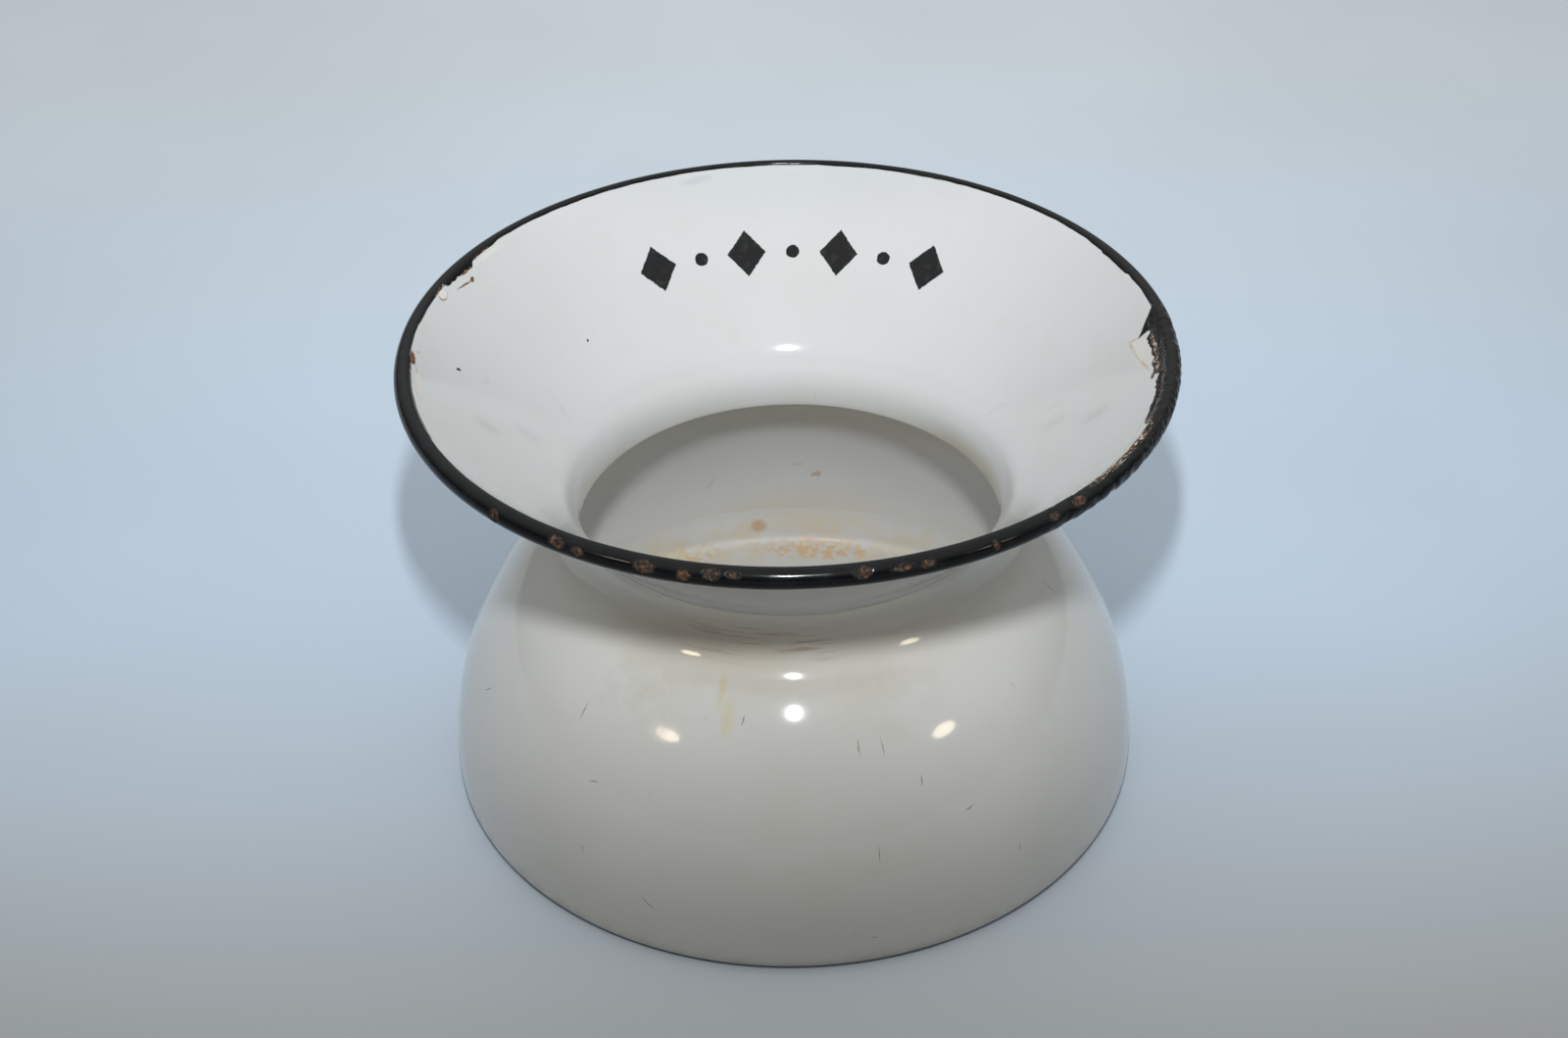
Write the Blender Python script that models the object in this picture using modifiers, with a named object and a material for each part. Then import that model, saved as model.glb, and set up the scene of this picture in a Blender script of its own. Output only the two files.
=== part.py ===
"""Enamelled steel cuspidor: a low domed bowl with a wide flared top and a black wired rim.

Units are metres and +Z is up. The origin is the centre of the ring that the bowl rests on,
and the object is a figure of revolution about Z.

The pieces, from the table up:
  bowl_shell   domed bowl, turned under at the base and open at the bottom and at the neck
  base_pan     pressed pan that closes the bottom from inside, with a raised centre
  flared_top   funnel whose tail is rolled out inside the neck and whose edge is curled over
  rim_wire     steel wire inside the curled edge
  rim_enamel   black enamel coat over the curled edge
"""
import math

import bpy

# Overall sizes
RIM_RADIUS = 0.09525
HEIGHT = 0.1255
BODY_RADIUS = 0.0895
THROAT_RADIUS = 0.0533
NECK_HEIGHT = 0.0796

# Sheet, coat and working gaps
SHEET = 0.0010
COAT = 0.0003
GAP = 0.0003

# Bowl: an arc up the side, a tighter arc over the shoulder, and a hollow arc into the neck
FOOT_CORNER_RADIUS = 0.0052
FOOT_RING_WIDTH = 0.0050
SIDE_RADIUS = 0.0890
SIDE_SWEEP = 32.0
NECK_HOLLOW_RADIUS = 0.0140
COLLAR_SWEEP = 25.0

# Pan
PAN_FLANGE_SWEEP = 2.6
PAN_RECESS_RADIUS = 0.0700
PAN_RECESS_SLOPE = 0.0040
PAN_RECESS_HEIGHT = 0.0027

# Flared top
THROAT_FILLET_RADIUS = 0.0116
TAIL_SWEEP = 35.0
BEAD_RADIUS = 0.0027
CURL_END_ANGLE = -140.0

# Black coat over the bead, measured round the bead from straight outwards
COAT_START_ANGLE = 120.0
COAT_END_ANGLE = -120.0

# Facets
TURN_STEPS = 48
ARC_STEP = 12.0
BEAD_ARC_STEP = 30.0

NECK_RADIUS = THROAT_RADIUS + SHEET + GAP + SHEET
CURL_RADIUS = BEAD_RADIUS - COAT - GAP
BEAD_CENTRE = (RIM_RADIUS - BEAD_RADIUS, HEIGHT - BEAD_RADIUS)


def arc(centre, radius, start, end, step=ARC_STEP):
    """Points (r, z) round a centre, from one angle to another, in degrees from +r."""
    count = max(1, math.ceil(abs(end - start) / step))
    points = []
    for i in range(count + 1):
        angle = math.radians(start + (end - start) * i / count)
        points.append((centre[0] + radius * math.cos(angle), centre[1] + radius * math.sin(angle)))
    return points


def join(*runs):
    """One outline from several runs of points, without doubled points where they meet."""
    outline = []
    for run in runs:
        for point in run:
            if not outline or math.dist(point, outline[-1]) > 1e-6:
                outline.append(point)
    return outline


def bowl_outline():
    """Outer face of the bowl, from the lip of its neck down to the inner edge of its foot ring."""
    lip_centre = (THROAT_RADIUS + THROAT_FILLET_RADIUS, NECK_HEIGHT)
    lip_radius = lip_centre[0] - NECK_RADIUS
    lip = arc(lip_centre, lip_radius, 180.0 - COLLAR_SWEEP, 180.0)

    side_centre = (BODY_RADIUS - SIDE_RADIUS, FOOT_CORNER_RADIUS)
    side = arc(side_centre, SIDE_RADIUS, SIDE_SWEEP, 0.0, 8.0)

    # The shoulder arc leaves the side along its tangent and touches the hollow of the neck,
    # so its centre is in line with the side's radius and (shoulder + hollow) from the hollow's.
    hollow_centre = (NECK_RADIUS + NECK_HOLLOW_RADIUS, NECK_HEIGHT)
    normal = (math.cos(math.radians(SIDE_SWEEP)), math.sin(math.radians(SIDE_SWEEP)))
    offset = (side[0][0] - hollow_centre[0], side[0][1] - hollow_centre[1])
    reach = offset[0] * normal[0] + offset[1] * normal[1]
    shoulder_radius = ((offset[0] ** 2 + offset[1] ** 2 - NECK_HOLLOW_RADIUS ** 2)
                       / (2.0 * (reach + NECK_HOLLOW_RADIUS)))
    shoulder_centre = (side[0][0] - shoulder_radius * normal[0],
                       side[0][1] - shoulder_radius * normal[1])
    shoulder_angle = math.degrees(math.atan2(hollow_centre[1] - shoulder_centre[1],
                                             hollow_centre[0] - shoulder_centre[0]))
    hollow = arc(hollow_centre, NECK_HOLLOW_RADIUS, 180.0, 180.0 + shoulder_angle)
    shoulder = arc(shoulder_centre, shoulder_radius, shoulder_angle, SIDE_SWEEP, 8.0)

    corner_centre = (BODY_RADIUS - FOOT_CORNER_RADIUS, FOOT_CORNER_RADIUS)
    corner = arc(corner_centre, FOOT_CORNER_RADIUS, 0.0, -90.0, 23.0)
    ring = [(corner_centre[0] - FOOT_RING_WIDTH, 0.0)]
    return join(lip, hollow, shoulder, side, corner, ring)


def pan_outline():
    """Lower face of the pan, from the top of its flange to the centre."""
    inset = SHEET + GAP
    side_centre = (BODY_RADIUS - SIDE_RADIUS, FOOT_CORNER_RADIUS)
    flange = arc(side_centre, SIDE_RADIUS - inset, PAN_FLANGE_SWEEP, 0.0)
    corner_centre = (BODY_RADIUS - FOOT_CORNER_RADIUS, FOOT_CORNER_RADIUS)
    corner = arc(corner_centre, FOOT_CORNER_RADIUS - inset, 0.0, -90.0, 23.0)
    step = []
    for t in (0.0, 0.25, 0.5, 0.75, 1.0):
        ease = t * t * (3.0 - 2.0 * t)
        step.append((PAN_RECESS_RADIUS - PAN_RECESS_SLOPE * t, inset + PAN_RECESS_HEIGHT * ease))
    centre = [(0.0, inset + PAN_RECESS_HEIGHT)]
    return join(flange, corner, step, centre)


def wall_slope():
    """Angle from level, in degrees, of the line tangent to the throat fillet and to the curl."""
    run = BEAD_CENTRE[0] - THROAT_RADIUS - THROAT_FILLET_RADIUS
    rise = BEAD_CENTRE[1] - NECK_HEIGHT
    lead = math.asin((THROAT_FILLET_RADIUS - CURL_RADIUS) / math.hypot(run, rise))
    return math.degrees(math.atan2(rise, run) - lead)


def top_outline():
    """Inner face of the flared top, from its tail up the wall and over the curled edge."""
    tail_centre = (NECK_RADIUS + NECK_HOLLOW_RADIUS, NECK_HEIGHT)
    tail_radius = tail_centre[0] - THROAT_RADIUS
    tail = arc(tail_centre, tail_radius, 180.0 + TAIL_SWEEP, 180.0)
    fillet_centre = (THROAT_RADIUS + THROAT_FILLET_RADIUS, NECK_HEIGHT)
    wall_angle = 90.0 + wall_slope()
    fillet = arc(fillet_centre, THROAT_FILLET_RADIUS, 180.0, wall_angle)
    curl = arc(BEAD_CENTRE, CURL_RADIUS, wall_angle, CURL_END_ANGLE, BEAD_ARC_STEP)
    return join(tail, fillet, curl)


def coat_outline():
    """Outer face of the black coat round the bead."""
    return arc(BEAD_CENTRE, BEAD_RADIUS, COAT_START_ANGLE, COAT_END_ANGLE, BEAD_ARC_STEP)


def wire_outline():
    """Closed section of the rim wire."""
    radius = CURL_RADIUS - SHEET - GAP
    return arc(BEAD_CENTRE, radius, 360.0, 0.0, 45.0)[:-1]


def make_material(name, colour, roughness, metallic):
    material = bpy.data.materials.new(name)
    material.use_nodes = True
    shader = material.node_tree.nodes["Principled BSDF"]
    shader.inputs["Base Color"].default_value = (*colour, 1.0)
    shader.inputs["Roughness"].default_value = roughness
    shader.inputs["Metallic"].default_value = metallic
    return material


def turned(name, outline, material, collection, thickness=None):
    """Turn an outline about Z. An open outline becomes a sheet, thickened behind its face."""
    closed = thickness is None
    mesh = bpy.data.meshes.new(name)
    edges = [(i, i + 1) for i in range(len(outline) - 1)]
    if closed:
        edges.append((len(outline) - 1, 0))
    mesh.from_pydata([(r, 0.0, z) for r, z in outline], edges, [])
    obj = bpy.data.objects.new(name, mesh)
    collection.objects.link(obj)
    mesh.materials.append(material)

    screw = obj.modifiers.new("turn", "SCREW")
    screw.axis = "Z"
    screw.angle = math.tau
    screw.steps = TURN_STEPS
    screw.render_steps = TURN_STEPS
    screw.use_merge_vertices = True
    screw.merge_threshold = 0.0001
    screw.use_smooth_shade = True

    if not closed:
        sheet = obj.modifiers.new("sheet", "SOLIDIFY")
        sheet.thickness = thickness
        sheet.offset = -1.0
        sheet.use_even_offset = True
        sheet.use_quality_normals = True
    return obj


def clear_scene():
    for obj in list(bpy.data.objects):
        bpy.data.objects.remove(obj, do_unlink=True)


def main():
    clear_scene()
    collection = bpy.data.collections.new("enamel_cuspidor")
    bpy.context.scene.collection.children.link(collection)

    bowl_white = make_material("bowl_white_enamel", (0.66, 0.66, 0.64), 0.18, 0.0)
    pan_white = make_material("pan_white_enamel", (0.64, 0.63, 0.59), 0.22, 0.0)
    top_white = make_material("top_white_enamel", (0.72, 0.73, 0.72), 0.16, 0.0)
    steel = make_material("wire_steel", (0.30, 0.28, 0.26), 0.50, 1.0)
    black = make_material("rim_black_enamel", (0.012, 0.012, 0.013), 0.20, 0.0)

    turned("bowl_shell", bowl_outline(), bowl_white, collection, SHEET)
    turned("base_pan", pan_outline(), pan_white, collection, SHEET)
    turned("flared_top", top_outline(), top_white, collection, SHEET)
    turned("rim_wire", wire_outline(), steel, collection)
    turned("rim_enamel", coat_outline(), black, collection, COAT)


main()
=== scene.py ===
"""Looks of an enamelled steel cuspidor: white bowl and flared top, black wired rim, chips and rust.

Units are metres and +Z is up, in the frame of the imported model. Azimuths are in degrees round Z
from +X. Sizes in the tables below are in millimetres.
"""

import math

import bmesh
import bpy
from mathutils import Matrix, Vector, noise


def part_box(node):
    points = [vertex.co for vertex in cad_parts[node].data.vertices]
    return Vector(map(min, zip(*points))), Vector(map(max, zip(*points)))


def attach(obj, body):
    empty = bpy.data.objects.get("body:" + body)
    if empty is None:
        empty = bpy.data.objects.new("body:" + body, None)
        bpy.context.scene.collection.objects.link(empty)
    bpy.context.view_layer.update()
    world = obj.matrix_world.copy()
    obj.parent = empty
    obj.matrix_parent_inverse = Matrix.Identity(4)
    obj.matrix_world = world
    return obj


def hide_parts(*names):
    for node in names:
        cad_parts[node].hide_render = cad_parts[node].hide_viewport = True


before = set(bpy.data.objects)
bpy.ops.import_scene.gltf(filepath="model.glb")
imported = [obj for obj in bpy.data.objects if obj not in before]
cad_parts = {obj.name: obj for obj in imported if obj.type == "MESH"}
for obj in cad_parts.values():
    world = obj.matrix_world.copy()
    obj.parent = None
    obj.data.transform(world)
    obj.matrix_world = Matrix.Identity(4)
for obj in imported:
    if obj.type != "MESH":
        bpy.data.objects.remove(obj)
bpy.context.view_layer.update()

MM = 0.001

# Sizes that the frame gives
RIM_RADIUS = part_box("rim_enamel")[1].x
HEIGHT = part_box("rim_enamel")[1].z
BODY_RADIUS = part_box("bowl_shell")[1].x
THROAT_RADIUS = min(v.co.xy.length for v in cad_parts["flared_top"].data.vertices)

# Sizes repeated from the CAD
HOLLOW_HEIGHT = 0.0796
SHEET = 0.0010
COAT = 0.0003
GAP = 0.0003
FOOT_CORNER_RADIUS = 0.0052
FOOT_RING_WIDTH = 0.0050
SIDE_RADIUS = 0.0890
SIDE_SWEEP = 32.0
NECK_HOLLOW_RADIUS = 0.0140
COLLAR_SWEEP = 25.0
PAN_RECESS_RADIUS = 0.0700
PAN_RECESS_SLOPE = 0.0040
PAN_RECESS_HEIGHT = 0.0027
BEAD_RADIUS = 0.0027
CURL_END_ANGLE = -140.0
COAT_START_ANGLE = 120.0
COAT_END_ANGLE = -120.0

# The throat of the flared top isn't quite the CAD's: its fillet is rounder, by up to 0.32 mm, and
# the tail inside the neck is straighter, by up to 1.3 mm, and ends 1.9 mm higher
NECK_HEIGHT = 0.0777
THROAT_FILLET_RADIUS = 0.0170
TAIL_RADIUS = 0.0350
TAIL_SWEEP = 9.2

NECK_RADIUS = THROAT_RADIUS + SHEET + GAP + SHEET
CURL_RADIUS = BEAD_RADIUS - COAT - GAP
BEAD_CENTRE = (RIM_RADIUS - BEAD_RADIUS, HEIGHT - BEAD_RADIUS)

# Spacing of the points along the turned profiles
BOWL_SPACING = 1.25 * MM
SHEET_SPACING = 1.1 * MM

# The pan's flange runs this far up the bowl's side, in degrees, about 4 mm higher than the CAD's
FLANGE_SWEEP = 5.2

# Where the enamel feathers one sheet onto the next, and thins it to 0.05 mm at its edge: the length
# of the feather, how far the face in the gap moves across it, how far the neck's open face is
# drawn in, and how far the flange's open face goes past its sheet into the gap
NECK_FEATHER = 13.0 * MM
FLANGE_FEATHER = 8.0 * MM
FEATHER_CLOSE = 0.27 * MM
NECK_DRAW = 1.22 * MM
FLANGE_PAST = 0.22 * MM

# Unevenness of the pressing, in mm, and the size of its waves
WAVE = 0.12
WAVE_SIZE = 55.0

# Thickness of the black coat on the bead, in mm, and its rows of points
COAT_FULL = 0.58
COAT_ROWS = 46
COAT_INNER_ROWS = 12

# Rust-brown chips on the bead: azimuth, angle round the bead, half length, half width
RIM_CHIPS = (
    (-133.9, 15, 1.4, 1.6), (-122.6, 33, 2.0, 1.6), (-119.3, 17, 1.5, 1.3), (-109.6, 30, 2.4, 1.6),
    (-104.1, 14, 1.5, 1.5), (-100.4, 42, 1.8, 1.6), (-97.6, 44, 1.2, 0.8), (-80.6, 38, 1.7, 1.5),
    (-75.2, 34, 2.0, 0.7), (-71.9, 30, 1.6, 1.0), (-61.8, 26, 0.8, 1.4), (-51.9, 48, 1.4, 1.1),
    (-47.0, 56, 2.0, 1.5), (-15.0, -35, 1.6, 1.2), (32.0, 5, 1.3, 0.9), (58.0, -28, 1.8, 1.2),
    (84.0, 12, 1.1, 0.8), (121.0, -12, 2.1, 1.3), (149.0, 20, 1.2, 0.9), (-160.0, -30, 1.5, 1.1),
)


def turn(a, b):
    """Signed difference of two azimuths, in degrees."""
    return (a - b + 180.0) % 360.0 - 180.0


def ease(low, high, value):
    """Smooth step from 0 at low to 1 at high."""
    t = min(1.0, max(0.0, (value - low) / (high - low)))
    return t * t * (3.0 - 2.0 * t)


def plateau(value, start, end, edge):
    """1 between start and end, easing to 0 over edge on each side."""
    return ease(start - edge, start, value) * (1.0 - ease(end, end + edge, value))


def ring_noise(azimuth, size, seed, height=0.0):
    """Noise round the object at its rim radius, with features of about size, in mm."""
    a = math.radians(azimuth)
    k = RIM_RADIUS / (size * MM)
    return noise.noise(Vector((k * math.cos(a), k * math.sin(a), height / size + seed)))


# Profiles

def arc(centre, radius, start, end, step=3.0):
    """Points (r, z) round a centre, from one angle to another, in degrees from +r."""
    count = max(1, math.ceil(abs(end - start) / step))
    points = []
    for i in range(count + 1):
        angle = math.radians(start + (end - start) * i / count)
        points.append((centre[0] + radius * math.cos(angle), centre[1] + radius * math.sin(angle)))
    return points


def join(*runs):
    """One line from several runs of points, without doubled points where they meet."""
    outline = []
    for run in runs:
        for point in run:
            if not outline or math.dist(point, outline[-1]) > 1e-6:
                outline.append(point)
    return outline


def resample(points, spacing):
    """Points evenly spaced along a line of points."""
    lengths = [0.0]
    for a, b in zip(points, points[1:]):
        lengths.append(lengths[-1] + math.dist(a, b))
    count = max(2, round(lengths[-1] / spacing))
    out = []
    k = 0
    for i in range(count + 1):
        s = lengths[-1] * i / count
        while k < len(points) - 2 and lengths[k + 1] < s:
            k += 1
        t = (s - lengths[k]) / (lengths[k + 1] - lengths[k])
        out.append(tuple(p + (q - p) * t for p, q in zip(points[k], points[k + 1])))
    return out


def face_normals(points):
    """Unit normals of a line of points, on the side that the sheet's face looks to."""
    normals = []
    for i in range(len(points)):
        a = points[max(0, i - 1)]
        b = points[min(len(points) - 1, i + 1)]
        length = math.dist(a, b)
        normals.append((-(b[1] - a[1]) / length, (b[0] - a[0]) / length))
    return normals


def behind(points, depth):
    """The line moved behind its face. depth is one number, or one for each point."""
    depths = depth if isinstance(depth, list) else [depth] * len(points)
    return [(p[0] - n[0] * d, p[1] - n[1] * d)
            for p, n, d in zip(points, face_normals(points), depths)]


def rounded_end(face_end, back_end, ahead):
    """Points round the cut edge of a sheet, from its face to its back."""
    middle = ((face_end[0] + back_end[0]) / 2.0, (face_end[1] + back_end[1]) / 2.0)
    half = (face_end[0] - middle[0], face_end[1] - middle[1])
    radius = math.hypot(*half)
    length = math.dist(face_end, ahead)
    out = ((face_end[0] - ahead[0]) / length * radius, (face_end[1] - ahead[1]) / length * radius)
    points = []
    for degrees in (30.0, 60.0, 90.0, 120.0, 150.0):
        c, s = math.cos(math.radians(degrees)), math.sin(math.radians(degrees))
        points.append((middle[0] + half[0] * c + out[0] * s, middle[1] + half[1] * c + out[1] * s))
    return points


def closed_sheet(face, back):
    """Closed section of a sheet, and for each point how far it is on the face: 1 face, 0 back."""
    last = rounded_end(face[-1], back[-1], face[-2])
    first = rounded_end(back[0], face[0], back[1])
    points = face + last + back[::-1] + first
    sides = [1.0] * len(face) + [0.5] * len(last) + [0.0] * len(back) + [0.5] * len(first)
    return points, sides


def bowl_lines():
    """Outer face and inner face of the bowl, from the lip of its neck to its foot ring."""
    lip_centre = (THROAT_RADIUS + THROAT_FILLET_RADIUS, NECK_HEIGHT)
    lip_radius = lip_centre[0] - NECK_RADIUS
    side_centre = (BODY_RADIUS - SIDE_RADIUS, FOOT_CORNER_RADIUS)
    side = arc(side_centre, SIDE_RADIUS, SIDE_SWEEP, 0.0, 0.8)
    hollow_centre = (NECK_RADIUS + NECK_HOLLOW_RADIUS, HOLLOW_HEIGHT)
    normal = (math.cos(math.radians(SIDE_SWEEP)), math.sin(math.radians(SIDE_SWEEP)))
    offset = (side[0][0] - hollow_centre[0], side[0][1] - hollow_centre[1])
    reach = offset[0] * normal[0] + offset[1] * normal[1]
    shoulder_radius = ((offset[0] ** 2 + offset[1] ** 2 - NECK_HOLLOW_RADIUS ** 2)
                       / (2.0 * (reach + NECK_HOLLOW_RADIUS)))
    shoulder_centre = (side[0][0] - shoulder_radius * normal[0],
                       side[0][1] - shoulder_radius * normal[1])
    shoulder_angle = math.degrees(math.atan2(hollow_centre[1] - shoulder_centre[1],
                                             hollow_centre[0] - shoulder_centre[0]))
    lip = arc(lip_centre, lip_radius, 180.0 - COLLAR_SWEEP, 176.0)
    hollow = arc(hollow_centre, NECK_HOLLOW_RADIUS, 184.0, 180.0 + shoulder_angle)
    shoulder = arc(shoulder_centre, shoulder_radius, shoulder_angle, SIDE_SWEEP, 1.2)
    corner_centre = (BODY_RADIUS - FOOT_CORNER_RADIUS, FOOT_CORNER_RADIUS)
    corner = arc(corner_centre, FOOT_CORNER_RADIUS, 0.0, -90.0, 6.0)
    ring = [(corner_centre[0] - FOOT_RING_WIDTH, 0.0)]
    outer = resample(join(lip, hollow, shoulder, side, corner, ring), BOWL_SPACING)
    # The neck is smoothed where the lip runs into the hollow
    for _ in range(3):
        outer[1:14] = [tuple((a + 2.0 * b + c) / 4.0 for a, b, c in zip(*outer[i - 1:i + 2]))
                       for i in range(1, 14)]
    # The enamel feathers the lip of the neck onto the flared top
    feather = [1.0 - ease(0.0, NECK_FEATHER, i * BOWL_SPACING) for i in range(len(outer))]
    inner = behind(outer, [SHEET + FEATHER_CLOSE * t for t in feather])
    return behind(outer, [NECK_DRAW * t for t in feather]), inner


def pan_lines():
    """Lower and upper face of the pan, from the top of its flange to the centre."""
    side_centre = (BODY_RADIUS - SIDE_RADIUS, FOOT_CORNER_RADIUS)
    corner_centre = (BODY_RADIUS - FOOT_CORNER_RADIUS, FOOT_CORNER_RADIUS)
    inset = SHEET + GAP
    flange = arc(side_centre, SIDE_RADIUS - inset, FLANGE_SWEEP, 0.0, 0.5)
    corner = arc(corner_centre, FOOT_CORNER_RADIUS - inset, 0.0, -90.0, 6.0)
    step = []
    for i in range(9):
        step.append((PAN_RECESS_RADIUS - PAN_RECESS_SLOPE * i / 8.0,
                     inset + PAN_RECESS_HEIGHT * ease(0.0, 8.0, i)))
    centre = [(0.0, inset + PAN_RECESS_HEIGHT)]
    lower = resample(join(flange, corner, step, centre), SHEET_SPACING)
    # The enamel feathers the top of the flange onto the wall of the bowl
    thin = [1.0 - ease(0.0, FLANGE_FEATHER, i * SHEET_SPACING) for i in range(len(lower))]
    upper = behind(lower, [SHEET * (1.0 - t) - FLANGE_PAST * t for t in thin])
    lower = behind(lower, [-FEATHER_CLOSE * t for t in thin])
    lower[-1] = (0.0, lower[-1][1])
    upper[-1] = (0.0, upper[-1][1])
    return lower, upper


def wall_slope():
    """Angle from level, in degrees, of the flare's straight wall."""
    run = BEAD_CENTRE[0] - THROAT_RADIUS - THROAT_FILLET_RADIUS
    rise = BEAD_CENTRE[1] - NECK_HEIGHT
    lead = math.asin((THROAT_FILLET_RADIUS - CURL_RADIUS) / math.hypot(run, rise))
    return math.degrees(math.atan2(rise, run) - lead)


WALL_SLOPE = wall_slope()
WALL_NORMAL = 90.0 + WALL_SLOPE
WALL_TOP = (BEAD_CENTRE[0] + CURL_RADIUS * math.cos(math.radians(WALL_NORMAL)),
            BEAD_CENTRE[1] + CURL_RADIUS * math.sin(math.radians(WALL_NORMAL)))


def top_lines():
    """Inner face and outer face of the flared top, from its tail over the curled edge."""
    tail_centre = (THROAT_RADIUS + TAIL_RADIUS, NECK_HEIGHT)
    tail = arc(tail_centre, TAIL_RADIUS, 180.0 + TAIL_SWEEP, 180.0)
    fillet_centre = (THROAT_RADIUS + THROAT_FILLET_RADIUS, NECK_HEIGHT)
    fillet = arc(fillet_centre, THROAT_FILLET_RADIUS, 180.0, WALL_NORMAL)
    curl = arc(BEAD_CENTRE, CURL_RADIUS, WALL_NORMAL, CURL_END_ANGLE, 12.0)
    face = resample(join(tail, fillet, [WALL_TOP]), SHEET_SPACING)
    face = join(face, curl)
    return face, behind(face, SHEET)


# Meshes

def sweep(name, columns, section, values=()):
    """Mesh of closed sections set round Z. section(azimuth) gives one (r, z, value, ...) tuple
    for each point, and the values are kept on the mesh under their names."""
    vertices = []
    kept = []
    for azimuth in columns:
        a = math.radians(azimuth)
        ring = section(azimuth)
        for point in ring:
            vertices.append((point[0] * math.cos(a), point[0] * math.sin(a), point[1]))
            kept.append(point[2:])
    n = len(ring)
    faces = []
    for i in range(len(columns)):
        here, there = i * n, (i + 1) % len(columns) * n
        for j in range(n):
            k = (j + 1) % n
            faces.append((here + j, there + j, there + k, here + k))
    mesh = bpy.data.meshes.new(name)
    mesh.from_pydata(vertices, [], faces)
    for index, value in enumerate(values):
        attribute = mesh.attributes.new(value, "FLOAT", "POINT")
        attribute.data.foreach_set("value", [k[index] for k in kept])
    work = bmesh.new()
    work.from_mesh(mesh)
    bmesh.ops.remove_doubles(work, verts=work.verts, dist=1e-7)
    bmesh.ops.recalc_face_normals(work, faces=work.faces)
    for face in work.faces:
        face.smooth = True
    work.to_mesh(mesh)
    work.free()
    piece = bpy.data.objects.new(name, mesh)
    bpy.context.scene.collection.objects.link(piece)
    return piece


def even_columns(count):
    return [360.0 * i / count for i in range(count)]


def rim_columns():
    """Azimuths for the rim coat, closest together where it is chipped and worn."""
    columns = []
    a = -180.0
    while a < 180.0 - 1e-6:
        columns.append(a)
        a += 0.25 if a < -168.0 or -140.0 <= a < 34.0 or a >= 148.0 else 0.8
    return columns


def dress(piece, material, node):
    """Gives a finished mesh its material, and stands it for a CAD node."""
    piece.data.materials.append(material)
    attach(piece, "root")
    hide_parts(node)


def sheet_piece(name, lines, columns, face_inside):
    """A turned sheet with a slight unevenness of the pressing, the same for all the sheets."""
    points, sides = closed_sheet(*lines)

    def section(azimuth):
        out = []
        for (r, z), side in zip(points, sides):
            hold = ease(0.0, 6.0 * MM, z) * (1.0 - ease(HEIGHT - 12.0 * MM, HEIGHT - 3.0 * MM, z))
            move = WAVE * MM * hold * ring_noise(azimuth, WAVE_SIZE, 1.0, z / MM)
            out.append((r + move * min(1.0, r / 0.03), z, side if face_inside else 1.0 - side))
        return out

    return sweep(name, columns, section, ("inside",))


# The black coat on the rim

def coat_reach(azimuth):
    """How far the black runs onto the flare from the bead's shoulder, in mm."""
    jag = ring_noise(azimuth, 2.6, 3.0) + 0.4 * ring_noise(azimuth, 1.0, 4.0)
    slow = ring_noise(azimuth, 6.0, 5.0)
    reach = 0.15 + 0.25 * slow + 0.12 * jag - 0.35 * plateau(azimuth, 38.0, 146.0, 9.0)
    left = plateau(turn(azimuth, 156.3), -3.6, 3.2, 1.2)
    reach += left * (1.15 + 0.5 * jag)
    reach += 0.5 * plateau(turn(azimuth, 149.5), -3.0, 3.4, 2.5)
    reach += 0.9 * plateau(turn(azimuth, -168.0), -9.0, 12.0, 2.0)
    reach += 0.5 * plateau(turn(azimuth, 26.0), -6.0, 1.0, 0.8)
    reach += plateau(azimuth, -23.0, 3.4, 2.0) * (2.7 + 0.6 * slow + 0.7 * jag)
    reach += 1.5 * plateau(azimuth, -8.0, 3.0, 1.0)
    # A hooked spike of black that runs down the flare
    hook = turn(azimuth, 4.6)
    if hook > 0.0:
        reach += 6.8 * max(0.0, 1.0 - hook / 4.2) ** 0.80
    else:
        reach += 3.0 * max(0.0, 1.0 + hook / 1.1)
    return reach


def coat_place(s, height):
    """Point above the curl or the flare: s is mm along it from the coat's usual edge, inwards."""
    shoulder = math.radians(WALL_NORMAL - COAT_START_ANGLE) * BEAD_RADIUS / MM
    if s <= shoulder:
        angle = math.radians(COAT_START_ANGLE) + s * MM / BEAD_RADIUS
        radius = CURL_RADIUS + height
        return (BEAD_CENTRE[0] + radius * math.cos(angle),
                BEAD_CENTRE[1] + radius * math.sin(angle))
    slope = math.radians(WALL_SLOPE)
    down = (s - shoulder) * MM
    return (WALL_TOP[0] - down * math.cos(slope) - height * math.sin(slope),
            WALL_TOP[1] - down * math.sin(slope) + height * math.cos(slope))


def chip_depth(azimuth, s):
    """Signed distance inside the nearest chip of the bead, in mm, ragged at its edge."""
    angle = COAT_START_ANGLE + math.degrees(s * MM / BEAD_RADIUS)
    best = -5.0
    for a0, b0, half_length, half_width in RIM_CHIPS:
        u = math.radians(turn(azimuth, a0)) * RIM_RADIUS / MM
        if abs(u) > 5.0:
            continue
        v = math.radians(turn(angle, b0)) * BEAD_RADIUS / MM
        away = 1.0 - math.hypot(u / half_length, v / half_width)
        best = max(best, away * min(half_length, half_width))
    if best > -1.5:
        best += 0.42 * noise.noise(Vector((azimuth * 1.1, s * 1.1, 7.0)))
        best += 0.20 * noise.noise(Vector((azimuth * 3.1, s * 2.9, 9.0)))
    return best


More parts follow.
